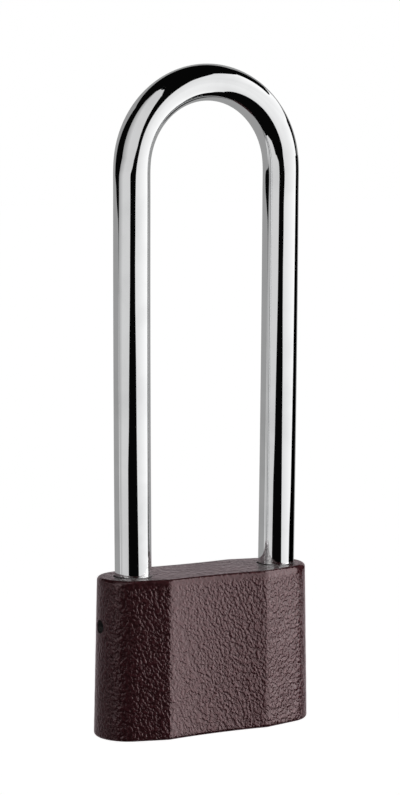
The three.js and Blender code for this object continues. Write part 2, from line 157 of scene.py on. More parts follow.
def sheet(name, points):
    """An open sheet from an array of points with the shape rows x columns x 3. A face joins four
    neighbouring points."""
    rows, columns = points.shape[:2]
    number = np.arange(rows * columns).reshape(rows, columns)
    faces = np.stack([number[:-1, :-1], number[:-1, 1:], number[1:, 1:], number[1:, :-1]], axis=2)
    mesh = bpy.data.meshes.new(name)
    mesh.from_pydata(points.reshape(-1, 3).tolist(), [], faces.reshape(-1, 4).tolist())
    return link(mesh, name)


LATHE_SIDES = 96


def lathe(name, profile, centre=(0, 0, 0), axis="z", sides=LATHE_SIDES):
    """A turned piece. The profile lists (distance along the axis, radius), from end to end. A point goes
    round as radius * (cos a, sin a) in the two directions across the axis."""
    along, radius = np.array(profile, float).T
    angle = np.linspace(0, 2 * np.pi, sides, endpoint=False)
    across = radius[:, None] * np.cos(angle), radius[:, None] * np.sin(angle)
    length = np.repeat(along[:, None], sides, axis=1)
    parts = {"z": (across[0], across[1], length), "x": (length, across[0], across[1])}[axis]
    return tube(name, np.stack(parts, axis=2) + np.array(centre))


def prism(name, outline, low, high):
    """An upright bar: the same closed outline of (x, y) points at two heights."""
    flat = np.array(outline, float)
    rows = [np.column_stack([flat, np.full(len(flat), z)]) for z in (low, high)]
    return tube(name, np.stack(rows))


def rectangle(x0, x1, y0, y1):
    """Corners of a rectangle, anticlockwise."""
    return [(x0, y0), (x1, y0), (x1, y1), (x0, y1)]


def carve(piece, cutters):
    """Cuts each closed cutter out of the piece, and throws the cutters away."""
    for cutter in cutters:
        modifier = piece.modifiers.new("cut", "BOOLEAN")
        modifier.operation = "DIFFERENCE"
        modifier.solver = "MANIFOLD"
        modifier.object = cutter
    settle(piece)
    for cutter in cutters:
        bpy.data.objects.remove(cutter)


def settle(piece):
    """Applies the piece's modifiers to its mesh."""
    bpy.context.view_layer.update()
    graph = bpy.context.evaluated_depsgraph_get()
    finished = bpy.data.meshes.new_from_object(piece.evaluated_get(graph))
    finished.materials.clear()
    piece.modifiers.clear()
    piece.data = finished


def soften(piece, degrees=35):
    """Smooth shading, with a crease wherever two faces meet at more than the given angle."""
    mesh = piece.data
    mesh.polygons.foreach_set("use_smooth", np.ones(len(mesh.polygons), bool))
    mesh.set_sharp_from_angle(angle=math.radians(degrees))


def centres_of(mesh):
    """The middle of every face, as an array of points."""
    middle = np.zeros(len(mesh.polygons) * 3)
    mesh.polygons.foreach_get("center", middle)
    return middle.reshape(-1, 3)


def place(piece, body, slot, *nodes):
    """Puts a finished piece on its body, in place of the CAD nodes it stands for. The slot is not used."""
    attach(piece, body)
    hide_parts(*nodes)
    print(f"{piece.name}: {len(piece.data.polygons)} faces on {body}")


# %% [markdown]
# ## Node helpers
#
# A material is a small tree of nodes. These helpers add a node with its values and join it to what feeds
# it in one call, so that each finish below reads as a short list of steps.


# %% Helpers for node trees
def new_material(name):
    """A material with an empty tree but for its shader and output. Returns the material, its tree and the
    shader."""
    material = bpy.data.materials.new(name)
    material.use_nodes = True
    tree = material.node_tree
    return material, tree, tree.nodes["Principled BSDF"]


def feed(tree, socket, value):
    """Joins a node's output to a socket, or sets the socket to a plain value."""
    if isinstance(value, bpy.types.NodeSocket):
        tree.links.new(value, socket)
    else:
        socket.default_value = value


def node(tree, kind, inputs=None, **settings):
    """Adds a node, with its settings and its inputs by name or number."""
    made = tree.nodes.new(kind)
    for key, value in settings.items():
        setattr(made, key, value)
    for key, value in (inputs or {}).items():
        feed(tree, made.inputs[key], value)
    return made


def maths(tree, operation, a, b=0.0, clamp=False):
    """One step of arithmetic."""
    made = node(tree, "ShaderNodeMath", {0: a, 1: b}, operation=operation, use_clamp=clamp)
    return made.outputs[0]


def scaled(tree, value, low, high, to_low=0.0, to_high=1.0, smooth=False):
    """Carries a range of values over to another range, and holds it there."""
    made = node(
        tree,
        "ShaderNodeMapRange",
        {"Value": value, "From Min": low, "From Max": high, "To Min": to_low, "To Max": to_high},
        interpolation_type="SMOOTHSTEP" if smooth else "LINEAR",
    )
    return made.outputs["Result"]


def mixed(tree, factor, a, b):
    """A colour between two others."""
    made = node(tree, "ShaderNodeMix", data_type="RGBA")
    feed(tree, made.inputs[0], factor)
    feed(tree, made.inputs[6], a)
    feed(tree, made.inputs[7], b)
    return made.outputs[2]


def noise(tree, place_on, scale, detail=2.0, rough=0.5, twist=0.0):
    """Cloudy noise from 0 to 1 at a number of lumps for each metre."""
    inputs = {"Vector": place_on, "Scale": scale, "Detail": detail, "Roughness": rough, "Distortion": twist}
    return node(tree, "ShaderNodeTexNoise", inputs).outputs["Fac"]


def object_place(tree, stretch=(1, 1, 1), turn=(0, 0, 0)):
    """The point on the piece itself. A pattern read there comes out stretched along its own axes, and
    turned as a whole."""
    spot = node(tree, "ShaderNodeTexCoord").outputs["Object"]
    inputs = {"Vector": spot, "Scale": stretch, "Rotation": turn}
    return node(tree, "ShaderNodeMapping", inputs, vector_type="TEXTURE").outputs[0]


def bump(tree, height, distance):
    """Tilts the surface as if it had this height."""
    inputs = {"Height": height, "Distance": distance, "Strength": 1.0}
    return node(tree, "ShaderNodeBump", inputs).outputs[0]


def new_group(name, inputs, outputs):
    """An empty shader group with numbers as inputs and named outputs of the given kinds."""
    group = bpy.data.node_groups.new(name, "ShaderNodeTree")
    for label, value in inputs.items():
        socket = group.interface.new_socket(label, in_out="INPUT", socket_type="NodeSocketFloat")
        socket.default_value = value
    for label, kind in outputs.items():
        group.interface.new_socket(label, in_out="OUTPUT", socket_type=kind)
    return group, group.nodes.new("NodeGroupInput").outputs, group.nodes.new("NodeGroupOutput").inputs


def use_group(tree, group, **values):
    """Places a group in a tree, with its own values, and returns its outputs."""
    made = tree.nodes.new("ShaderNodeGroup")
    made.node_tree = group
    for key, value in values.items():
        feed(tree, made.inputs[key.replace("_", " ")], value)
    return made.outputs


# %% [markdown]
# ## Shared effects
#
# Three effects are used by more than one finish: marks from handling, the rings that a lathe leaves, and
# the grain that a belt grinder leaves. Each is noise, stretched the way its marks run.


# %% Shader groups
def make_handling_group():
    """Faint smudges and short scratches, each as a mask from 0 to 1."""
    group, given, out = new_group(
        "handling_marks",
        {"Smudge Size": 120.0, "Scratch Size": 900.0},
        {"Smudge": "NodeSocketFloat", "Scratch": "NodeSocketFloat"},
    )
    smudge = noise(group, object_place(group), given["Smudge Size"], 3.0, 0.55, 0.6)
    along = object_place(group, (1, 1, 12), (0.35, 0.2, 0.0))
    scratch = noise(group, along, given["Scratch Size"], 1.0, 0.4, 0.3)
    feed(group, out["Smudge"], scaled(group, smudge, 0.42, 0.68, smooth=True))
    feed(group, out["Scratch"], scaled(group, scratch, 0.62, 0.8))
    return group


def make_turning_group():
    """Fine rings round the Z axis, as a lathe tool leaves them: noise that reads only height and radius."""
    group, given, out = new_group(
        "turning_lines", {"Centre X": 0.0, "Fineness": 5000.0}, {"Line": "NodeSocketFloat"}
    )
    here = node(group, "ShaderNodeTexCoord").outputs["Object"]
    spot = node(group, "ShaderNodeSeparateXYZ", {0: here}).outputs
    across = maths(group, "SUBTRACT", spot["X"], given["Centre X"])
    squares = maths(group, "MULTIPLY", across, across), maths(group, "MULTIPLY", spot["Y"], spot["Y"])
    radius = maths(group, "SQRT", maths(group, "ADD", *squares))
    ring = node(group, "ShaderNodeCombineXYZ", {0: radius, 1: spot["Z"]}).outputs[0]
    feed(group, out["Line"], noise(group, ring, given["Fineness"], 2.0, 0.6))
    return group


def make_grain_group():
    """Long straight grain along X, as a belt grinder leaves it."""
    group, given, out = new_group("ground_grain", {"Fineness": 4000.0}, {"Line": "NodeSocketFloat"})
    stretched = object_place(group, (25, 1, 1))
    feed(group, out["Line"], noise(group, stretched, given["Fineness"], 3.0, 0.6))
    return group


handling_marks = make_handling_group()
turning_lines = make_turning_group()
ground_grain = make_grain_group()
print("groups:", [group.name for group in bpy.data.node_groups])

# %% [markdown]
# ## Hammered paint
#
# The casting is dipped in a thick red-brown lacquer that shrinks into short wrinkles as it dries. The
# colour is warmer on the crowns, and shade is painted into the furrows, which come out nearly black. Most
# of what the eye sees is the gloss: each wrinkle turns a bit of the studio towards the eye. So the wrinkles
# are a bump made from twisted noise, stretched a little upwards and leaning, on top of the gentle waves
# that the mesh itself has. The lacquer lies flatter near the top rim and just inside the heel ridge, and
# rougher on the top face, where a slow swell is added.


# %% Hammered paint on the case
def hammered_paint():
    """Red-brown lacquer. The depth of the wrinkles changes from place to place, and the swell is only on
    the top face."""
    material, tree, shader = new_material("hammered_paint")
    spot = object_place(tree, (1.0, 1.0, 1.18), (0.0, -0.45, 0.0))
    wrinkle = noise(tree, spot, 1400.0, 2.0, 0.4, 0.15)
    crease = scaled(tree, wrinkle, 0.30, 0.70, smooth=True)
    pore = noise(tree, object_place(tree), 2600.0, 2.0, 0.5)
    rough = maths(tree, "ADD", crease, maths(tree, "MULTIPLY", pore, 0.05))
    here = node(tree, "ShaderNodeSeparateXYZ", {0: object_place(tree)}).outputs
    flooded = scaled(tree, here["Z"], CASE_TOP - 2.6 * MM, CASE_TOP - 1.0 * MM, 1.0, 0.35, smooth=True)
    on_top = scaled(tree, here["Z"], CASE_TOP - 0.03 * MM, CASE_TOP - 0.01 * MM)
    open_face = maths(tree, "MULTIPLY", on_top, 1.6)
    past_ridge = scaled(tree, here["X"], -15.6 * MM, -14.8 * MM, 1.12, 0.0)
    shallow = scaled(tree, here["X"], -14.0 * MM, 2.0 * MM, 0.62, 1.0)
    by_place = maths(tree, "MAXIMUM", past_ridge, shallow)
    depth = maths(tree, "MULTIPLY", maths(tree, "MAXIMUM", flooded, open_face), by_place)
    swell = maths(tree, "MULTIPLY", noise(tree, spot, 520.0, 2.0, 0.5), maths(tree, "MULTIPLY", on_top, 5.0))
    height = maths(tree, "ADD", maths(tree, "MULTIPLY", rough, depth), swell)
    tone = noise(tree, object_place(tree), 90.0, 3.0, 0.55)
    # Painted shade: the colour is darkened in the wrinkles' low spots, by the same mask that shapes the bump.
    shaded_furrow = (0.024, 0.0068, 0.008, 1.0)
    crown = (0.052, 0.015, 0.018, 1.0)
    colour = mixed(tree, crease, shaded_furrow, crown)
    shade = mixed(tree, scaled(tree, tone, 0.3, 0.7, 0.0, 0.35), colour, (0.038, 0.014, 0.015, 1.0))
    feed(tree, shader.inputs["Base Color"], shade)
    feed(tree, shader.inputs["Roughness"], scaled(tree, tone, 0.3, 0.7, 0.07, 0.13))
    feed(tree, shader.inputs["Normal"], bump(tree, height, 0.113 * MM))
    shader.inputs["Specular Tint"].default_value = (1.0, 0.73, 0.75, 1.0)
    return material


def machined_iron():
    """Bare cast iron inside the bores, with rings from the tool."""
    material, tree, shader = new_material("machined_iron")
    line = use_group(tree, turning_lines, Centre_X=0.0, Fineness=3500.0)["Line"]
    feed(tree, shader.inputs["Base Color"], mixed(tree, line, (0.34, 0.33, 0.32, 1), (0.62, 0.61, 0.6, 1)))
    feed(tree, shader.inputs["Roughness"], scaled(tree, line, 0.3, 0.7, 0.25, 0.45))
    feed(tree, shader.inputs["Normal"], bump(tree, line, 0.01 * MM))
    shader.inputs["Metallic"].default_value = 1.0
    return material


PAINT = hammered_paint()
BARE_IRON = machined_iron()

# %% [markdown]
# ## Bright chrome
#
# Plated chrome is a mirror with a slightly cool tint. A perfect mirror looks unreal, so faint smudges make
# it a touch less sharp in patches, and hair-fine scratches break the reflections.


# %% Chrome on the shackle
def bright_chrome():
    """A cool mirror, a touch duller where it has been handled."""
    material, tree, shader = new_material("chrome")
    marks = use_group(tree, handling_marks, Smudge_Size=70.0, Scratch_Size=1500.0)
    clean, handled = (0.93, 0.935, 0.94, 1), (0.86, 0.865, 0.87, 1)
    feed(tree, shader.inputs["Base Color"], mixed(tree, marks["Smudge"], clean, handled))
    feed(tree, shader.inputs["Roughness"], scaled(tree, marks["Smudge"], 0.0, 1.0, 0.018, 0.05))
    feed(tree, shader.inputs["Normal"], bump(tree, marks["Scratch"], 0.0002 * MM))
    shader.inputs["Metallic"].default_value = 1.0
    return material


CHROME = bright_chrome()


# %% [markdown]
# ## Brass and plain steel
#
# The cylinder is turned brass, with rings from the lathe and a little tarnish. The pins and the bolt are
# plain steel with ground grain, and the springs and the clip are brighter drawn wire and strip.


# %% Metals inside
def turned_brass(name, centre_x):
    """Brass with turning rings about an upright axis at the given X."""
    material, tree, shader = new_material(name)
    line = use_group(tree, turning_lines, Centre_X=centre_x, Fineness=2600.0)["Line"]
    marks = use_group(tree, handling_marks, Smudge_Size=160.0, Scratch_Size=1100.0)
    fresh = mixed(tree, line, (0.66, 0.47, 0.2, 1), (0.83, 0.64, 0.32, 1))
    feed(tree, shader.inputs["Base Color"], mixed(tree, marks["Smudge"], fresh, (0.42, 0.28, 0.12, 1)))
    feed(tree, shader.inputs["Roughness"], scaled(tree, marks["Smudge"], 0.0, 1.0, 0.24, 0.42))
    feed(tree, shader.inputs["Normal"], bump(tree, line, 0.012 * MM))
    shader.inputs["Metallic"].default_value = 1.0
    return material


def plain_steel(name, dark, light, roughness):
    """Steel with ground grain between two shades of grey."""
    material, tree, shader = new_material(name)
    line = use_group(tree, ground_grain, Fineness=4200.0)["Line"]
    marks = use_group(tree, handling_marks, Smudge_Size=200.0, Scratch_Size=1300.0)
    colour = mixed(tree, line, dark, light)
    feed(tree, shader.inputs["Base Color"], mixed(tree, marks["Smudge"], colour, dark))
    feed(tree, shader.inputs["Roughness"], scaled(tree, line, 0.3, 0.7, roughness, roughness + 0.15))
    feed(tree, shader.inputs["Normal"], bump(tree, line, 0.008 * MM))
    shader.inputs["Metallic"].default_value = 1.0
    return material


BRASS = turned_brass("brass", 0.0)
PLUG_BRASS = turned_brass("plug_brass", plug_axis_x)
STEEL = plain_steel("steel", (0.3, 0.3, 0.31, 1), (0.55, 0.56, 0.57, 1), 0.3)
OILED_STEEL = plain_steel("oiled_steel", (0.05, 0.05, 0.052, 1), (0.12, 0.12, 0.125, 1), 0.35)
SPRING_STEEL = plain_steel("spring_steel", (0.5, 0.5, 0.51, 1), (0.74, 0.75, 0.76, 1), 0.2)
print("materials:", [material.name for material in bpy.data.materials])

# %% [markdown]
# ## The cast case
#
# The case is a lozenge with round ends, a ridge at each of its four shoulders, and a shallow dish between
# the ridges. A stack of boxes could be bevelled into that, but the outline is better walked as arcs and
# lines, softened a little as a sand mould would, and carried up a profile that rounds the rims. The
# wrinkled skin is a sum of many small waves in random directions, which pushes each point in or out.


# %% Outline of the case
def arc(centre, radius, start, end, count):
    """Points centre + radius * (cos a, sin a), for a from start to end."""
    angle = np.linspace(start, end, count)
    return np.array(centre) + radius * np.column_stack([np.cos(angle), np.sin(angle)])


def end_angle(ridge_x):
    """Half of an end's arc: from its tip to the point where the flank touches it. The flank is the line
    that touches the arc and meets the ridge."""
    along = HALF_LENGTH - END_RADIUS - ridge_x
    flank = math.asin(END_RADIUS / math.hypot(along, RIDGE_HALF_DEPTH)) - math.atan2(RIDGE_HALF_DEPTH, along)
    return math.pi / 2 + flank


def dense_outline():
    """The outline at the top face, anticlockwise: the toe end's arc, the back with its dish, the heel
    end's arc, and the front with its dish. A dish is an arc through two ridges, as deep as its sag."""
    end_x = HALF_LENGTH - END_RADIUS
    toe, heel = end_angle(TOE_RIDGE_X), end_angle(HEEL_RIDGE_X)
    middle, half = (TOE_RIDGE_X - HEEL_RIDGE_X) / 2, (TOE_RIDGE_X + HEEL_RIDGE_X) / 2
    radius = (half**2 + DISH_SAG**2) / (2 * DISH_SAG)
    centre_y = RIDGE_HALF_DEPTH - DISH_SAG + radius
    spread = math.asin(half / radius)
    down, up = -math.pi / 2, math.pi / 2
    return np.concatenate([
        arc((end_x, 0), END_RADIUS, -toe, toe, 400),
        arc((middle, centre_y), radius, down + spread, down - spread, 400),
        arc((-end_x, 0), END_RADIUS, math.pi - heel, math.pi + heel, 400),
        arc((middle, -centre_y), radius, up + spread, up - spread, 400),
    ])


def even_steps(points, count, closed=True):
    """The same line of points in steps of equal length."""
    line = np.vstack([points, points[:1]]) if closed else points
    length = np.concatenate([[0], np.cumsum(np.linalg.norm(np.diff(line, axis=0), axis=1))])
    wanted = np.linspace(0, length[-1], count, endpoint=not closed)
    return np.column_stack([np.interp(wanted, length, line[:, i]) for i in (0, 1)])


def softened(points, width):
    """Each point becomes the mean of its neighbours, weighted by a bell curve of the given width."""
    step = np.linalg.norm(points[1] - points[0])
    span = int(4 * width / step)
    offsets = np.arange(-span, span + 1)
    weight = np.exp(-0.5 * (offsets * step / width) ** 2)
    return sum(w * np.roll(points, -o, axis=0) for w, o in zip(weight / weight.sum(), offsets))


def outward(points):
    """Unit vectors square to a closed anticlockwise outline."""
    along = np.roll(points, -1, axis=0) - np.roll(points, 1, axis=0)
    square = np.column_stack([along[:, 1], -along[:, 0]])
    return square / np.linalg.norm(square, axis=1, keepdims=True)


STEP = 0.34 * MM
RIDGE_SOFTNESS = 0.42 * MM
walk = softened(even_steps(dense_outline(), 1800), RIDGE_SOFTNESS)
perimeter = np.linalg.norm(np.diff(walk, axis=0), axis=1).sum()
outline = even_steps(walk, int(perimeter / STEP))
print(f"outline of {len(outline)} points, {1e3 * perimeter:.1f} mm round")


# %% Skin of the case
def rim_profile():
    """Pairs of (inset from the outline, height), from the underside to the top. Each rim is a quarter
    circle: inset = r - r sin a, height = r - r cos a. Two flat rings lead into each end face."""
    turn = np.linspace(0, np.pi / 2, 8)
    inset = RIM_RADIUS * (1 - np.sin(turn))
    height = RIM_RADIUS * (1 - np.cos(turn))
    wall = np.linspace(RIM_RADIUS, CASE_TOP - RIM_RADIUS, int((CASE_TOP - 2 * RIM_RADIUS) / STEP))[1:-1]
    flat = np.array([3.0, 2.0, 1.3]) * MM
    insets = np.concatenate([flat, inset, np.zeros(len(wall)), inset[::-1], flat[::-1]])
    heights = np.concatenate([0 * flat, height, wall, CASE_TOP - height[::-1], 0 * flat + CASE_TOP])
    return insets, heights


def ripple(points, count, size, seed, stretch=(1, 1, 1)):
    """A smooth random field: the sum of plane waves cos(k . p + phase), each with a random direction and
    phase and a wavelength near the given size, scaled to a spread of 1."""
    random = np.random.default_rng(seed)
    direction = random.normal(size=(count, 3))
    direction /= np.linalg.norm(direction, axis=1, keepdims=True)
    wave = direction * (2 * np.pi / size) * random.uniform(0.7, 1.4, (count, 1)) * np.array(stretch)
    phase = random.uniform(0, 2 * np.pi, count)
    total = sum(np.cos(points @ k + p) for k, p in zip(wave, phase))
    return total * math.sqrt(2 / count)


def case_points():
    """Outline points moved in by the inset, spread by the draft towards the underside, and pushed out by
    the wrinkles, which die out before each rim."""
    insets, heights = rim_profile()
    normal = outward(outline)
    flat = outline[None] - insets[:, None, None] * normal[None]
    down = 1 - heights / CASE_TOP
    spread = np.array([DRAFT / HALF_LENGTH, DRAFT / RIDGE_HALF_DEPTH])
    flat = flat * (1 + down[:, None, None] * spread)
    points = np.concatenate([flat, np.repeat(heights[:, None], len(outline), axis=1)[:, :, None]], axis=2)
    from_rim = np.minimum(heights, CASE_TOP - heights)
    fade = np.clip((from_rim - 0.4 * MM) / (1.8 * MM), 0, 1) * (insets == 0)
    waves = ripple(points, 120, 2.1 * MM, 7, (1, 1, 0.6))
    points[:, :, :2] += (WAVE_HEIGHT * fade[:, None] * waves)[:, :, None] * normal[None]
    return points


WAVE_HEIGHT = 0.010 * MM
case = tube("case", case_points())
print("case skin:", len(case.data.polygons), "faces")

# %% [markdown]
# The holes are drilled after casting: two leg bores with a broken edge, the cylinder's bore from below,
# the pocket for the crank, the bolt's channel and a cross hole in each end. Closed cutters are turned or
# extruded for them and subtracted, and the faces inside a hole then get the bare metal.

# %% Bores of the case
BORE_RADIUS = ROD_RADIUS + 0.3 * MM
HEEL_BORE_FLOOR = 8.3 * MM
TOE_BORE_FLOOR = 26.4 * MM
CRANK_POCKET_RADIUS = 5.8 * MM
BORE_LEAN = 0.2 * MM
BORE_EDGE = 0.18 * MM
BEYOND = 1.0 * MM
SHELL_BORE = 7.7 * MM
shell_low, shell_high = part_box("cylinder_shell")
bolt_low, bolt_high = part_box("lock_bolt")
CROSS_HOLE = 1.75 * MM


def leg_cutter(name, x, floor):
    """A bore with a small cone at its mouth."""
    profile = [
        (floor, BORE_RADIUS - 0.8 * MM),
        (floor + 0.8 * MM, BORE_RADIUS),
        (CASE_TOP - BORE_EDGE, BORE_RADIUS),
        (CASE_TOP, BORE_RADIUS + BORE_EDGE),
        (CASE_TOP + BEYOND, BORE_RADIUS + BORE_EDGE + BEYOND),
    ]
    return lathe(name, profile, (x - BORE_LEAN, 0, 0), sides=128)


def cross_cutter(name, start, end, z):
    """A drilled hole along X."""
    return lathe(name, [(start, CROSS_HOLE), (end, CROSS_HOLE)], (0, 0, z), "x", 48)


def shell_cutter():
    """The cylinder's bore, with a broken edge at the underside."""
    profile = [
        (-BEYOND, SHELL_BORE + BEYOND + 0.3 * MM),
        (0.3 * MM, SHELL_BORE),
        (shell_high.z + 0.2 * MM, SHELL_BORE),
    ]
    return lathe("cutter", profile, sides=128)


def middle_z(node_name):
    """Height of the middle of a CAD node."""
    low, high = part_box(node_name)
    return (low.z + high.z) / 2


pocket = [
    (shell_high.z - BEYOND, CRANK_POCKET_RADIUS),
    (bolt_low.z + 0.3 * MM, CRANK_POCKET_RADIUS),
]
channel = rectangle(bolt_low.x - 0.4 * MM, TOE_X, bolt_low.y - 0.2 * MM, bolt_high.y + 0.2 * MM)
carve(
    case,
    [
        leg_cutter("cutter", HEEL_X, HEEL_BORE_FLOOR),
        leg_cutter("cutter", TOE_X, TOE_BORE_FLOOR),
        shell_cutter(),
        lathe("cutter", pocket, (plug_axis_x, 0, 0)),
        prism("cutter", channel, bolt_low.z - 0.2 * MM, bolt_high.z + 0.2 * MM),
        cross_cutter("cutter", case_low.x - BEYOND, HEEL_X, middle_z("shackle_retaining_pin")),
        cross_cutter("cutter", 0, case_high.x + BEYOND, middle_z("cylinder_retaining_pin")),
    ],
)
soften(case, 32)


def bare_faces(mesh):
    """True for faces within a leg bore, the cylinder's bore or a cross hole, counted from the hole's axis."""
    x, y, z = centres_of(mesh).T
    in_leg = [(np.hypot(x - leg_x + BORE_LEAN, y) < BORE_RADIUS + BORE_EDGE) for leg_x in (HEEL_X, TOE_X)]
    in_shell = (np.hypot(x, y) < SHELL_BORE + 0.3 * MM) & (z > 1e-6) & (z < CASE_TOP - 1e-6)
    inside = np.abs(y) < 4 * MM
    in_hole = [np.hypot(y, z - middle_z(pin)) < CROSS_HOLE for pin in RETAINING_PINS]
    in_cross = inside & (in_hole[0] | in_hole[1]) & (np.abs(x) < HALF_LENGTH - 0.2 * MM)
    return ((in_leg[0] | in_leg[1]) & (z < CASE_TOP - 1e-6)) | in_shell | in_cross


def end_faces(mesh):
    """True for the flat faces on the top and on the underside."""
    z = centres_of(mesh)[:, 2]
    return (np.abs(z) < 1e-7) | (np.abs(z - CASE_TOP) < 1e-7)


case.data.polygons.foreach_set("use_smooth", ~end_faces(case.data))
case.data.materials.append(PAINT)
case.data.materials.append(BARE_IRON)
case.data.polygons.foreach_set("material_index", bare_faces(case.data).astype(np.int32))
place(case, "case", "hammered_paint", "cast_case")

# %% [markdown]
# ## The shackle
#
# A shackle is a straight rod that is bent round a former, so a circle carried along a path describes it
# exactly. Each leg stands a little wider at the bend than at the case, where the rod has sprung back. The
# slot, the ring groove and the toe's notch are milled out afterwards.


# %% Rod of the shackle
def leg_reach(z):
    """Distance of a leg's axis from the shackle's middle: it grows from the case's top up to the bend, and
    ends upright there, as spread * (1 - (1 - u) squared)."""
    u = np.clip((z - CASE_TOP) / (BEND_Z - CASE_TOP), 0, 1)
    return LEG_REACH + LEG_SPREAD * (1 - (1 - u) ** 2)


BEND_EASE = 3.2 * MM


def shackle_path(heel_end, toe_end):
    """Points along the rod's axis: up the heel leg, half a turn round the bend, and down the toe leg. The
    rod eases into the bend, because each point is moved to the mean of its neighbours. That pulls the arc
    in by ease squared / (2 radius), so the arc starts that much larger."""
    radius = BEND_RADIUS + BEND_EASE**2 / (2 * BEND_RADIUS)
    spare = 30 * MM
    up = np.linspace(heel_end - spare, BEND_Z, 400)[:-1]
    down = np.linspace(BEND_Z, toe_end - spare, 400)[1:]
    turn = np.linspace(math.pi, 0, 300)
    x = np.concatenate([-leg_reach(up), radius * np.cos(turn), leg_reach(down)])
    z = np.concatenate([up, BEND_Z + radius * np.sin(turn), down])
    eased = softened(even_steps(np.column_stack([x, z]), 2400, closed=False), BEND_EASE)
    heel, toe = eased[eased[:, 0] < 0], eased[eased[:, 0] >= 0]
    kept = np.concatenate([heel[heel[:, 1] > heel_end], toe[toe[:, 1] > toe_end]])
    kept[0, 1], kept[-1, 1] = heel_end, toe_end
    x, z = even_steps(kept, 330, closed=False).T
    return np.column_stack([SHACKLE_X + x, 0 * x, z])


def swept(path, radius, sides):
    """A circle of the given radius at each point, square to the path, which lies in the XZ plane: one
    direction across it is Y and the other is the path's own direction turned a quarter in that plane."""
    along = np.gradient(path, axis=0)
    along /= np.linalg.norm(along, axis=1, keepdims=True)
    across = np.column_stack([along[:, 2], 0 * along[:, 0], -along[:, 0]])
    angle = np.linspace(0, 2 * np.pi, sides, endpoint=False)
    ring = np.cos(angle)[None, :, None] * across[:, None] + np.sin(angle)[None, :, None] * np.array([0, 1, 0])
    return path[:, None] + radius[:, None, None] * ring


LEG_CHAMFER = 1.2 * MM


def shackle_points():
    """The rod's radius is full but for a chamfer of 45 degrees at each end."""
    path = shackle_path(shackle_low.z, TOE_END)
    steps = np.linalg.norm(np.diff(path, axis=0), axis=1)
    travelled = np.concatenate([[0], np.cumsum(steps)])
    chamfers = [LEG_CHAMFER, travelled[-1] - LEG_CHAMFER]
    stations = np.sort(np.concatenate([travelled, chamfers]))
    path = np.column_stack([np.interp(stations, travelled, path[:, i]) for i in range(3)])
    to_end = np.minimum(stations, stations[-1] - stations)
    radius = ROD_RADIUS - np.clip(LEG_CHAMFER - to_end, 0, LEG_CHAMFER)
    return swept(path, radius, 112)


TOE_END = 27.5 * MM
shackle = tube("shackle", shackle_points())

# %% [markdown]
# The heel leg has a slot that slides past the retaining pin as the shackle lifts, and a ring groove at its
# lower end. The toe leg has one flat notch for the bolt.

# %% Slot, groove and notch
pin_z = middle_z("shackle_retaining_pin")
LIFT = frame["joints"][0]["range_m"][1]
SLOT_HALF_WIDTH = 1.8 * MM
SLOT_FLOOR_X = HEEL_X - ROD_RADIUS + 2.1 * MM
RING_HEIGHT = 3.6 * MM
NOTCH_FLOOR_X = TOE_X - ROD_RADIUS + 2.3 * MM
slot_low = pin_z - LIFT - SLOT_HALF_WIDTH
OUTSIDE = 9 * MM


def slot_cutter():
    """A round-ended slot on the heel side: two half circles in Y and Z joined by straight sides."""
    centre_low, centre_high = slot_low + SLOT_HALF_WIDTH, pin_z
    upper = arc((0, centre_high), SLOT_HALF_WIDTH, 0, math.pi, 24)
    lower = arc((0, centre_low), SLOT_HALF_WIDTH, math.pi, 2 * math.pi, 24)
    ends = np.concatenate([upper, lower])
    rows = [np.column_stack([np.full(len(ends), x), ends]) for x in (SLOT_FLOOR_X - OUTSIDE, SLOT_FLOOR_X)]
    return tube("cutter", np.stack(rows))


def ring_cutter():
    """A ring: its profile goes up the outside and comes back down along the core, so the surface closes on
    itself, and the two end rows are joined rather than capped. The cut with it isn't right yet: it leaves
    the ring behind in the groove, as a loose body inside the case."""
    core, wide = ROD_RADIUS - 2.1 * MM, ROD_RADIUS + BEYOND
    low, high = slot_low, slot_low + RING_HEIGHT
    corner = 0.25 * MM
    profile = [
        (low, wide), (high, wide), (high, core + corner), (high - corner, core), (low + corner, core),
        (low, core + corner), (low, wide),
    ]
    made = lathe("cutter", profile[::-1], (HEEL_X, 0, 0))
    mesh = made.data
    keep = [list(face.vertices) for face in mesh.polygons if len(face.vertices) == 4]
    points = [tuple(v.co) for v in mesh.vertices]
    last_row = (len(profile) - 1) * LATHE_SIDES
    keep = [[k - last_row if k >= last_row else k for k in face] for face in keep]
    mesh.clear_geometry()
    mesh.from_pydata(points[:last_row], [], keep)
    return made


notch = rectangle(NOTCH_FLOOR_X - OUTSIDE, NOTCH_FLOOR_X, -OUTSIDE, OUTSIDE)
carve(
    shackle,
    [
        slot_cutter(),
        ring_cutter(),
        prism("cutter", notch, bolt_low.z - 0.3 * MM, bolt_high.z + 0.3 * MM),
    ],
)
soften(shackle, 30)
shackle.data.materials.append(CHROME)
place(shackle, "shackle", "chrome", "shackle")

# %% [markdown]
# ## The cylinder
#
# Shell and plug come off a lathe, so each is a profile carried round its axis, with the small chamfers that
# take the burr off its edges. The shell is bored for the plug, with a wider step for the plug's flange. The
# pin chambers are drilled across, and a long slot takes the strip that closes them.

# %% Shell of the cylinder
SHELL_RADIUS = shell_high.y
PLUG_RADIUS = 4.3 * MM
PLUG_PLAY = 0.1 * MM
CHAMBER_RADIUS = 1.4 * MM
SLOT_PLAY = 0.15 * MM
plug_low, plug_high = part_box("cylinder_plug")
cover_low, cover_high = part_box("spring_chamber_cover")
FLANGE_RADIUS = plug_high.y
FLANGE_TOP = plug_low.z + 1.4 * MM


def chamber_cutters(start, end):
    """The five pin chambers, drilled along X from start to end at the heights of the key pins."""
    heights = [middle_z(f"key_pin_{number}") for number in range(1, 6)]
    drill = [(start, CHAMBER_RADIUS), (end, CHAMBER_RADIUS)]
    return [lathe("cutter", drill, (0, 0, z), "x", 48) for z in heights]


def turned(low, high, radius, chamfer):
    """Profile of a plain turned bar with both edges broken."""
    inner = radius - chamfer
    return [(low, inner), (low + chamfer, radius), (high - chamfer, radius), (high, inner)]


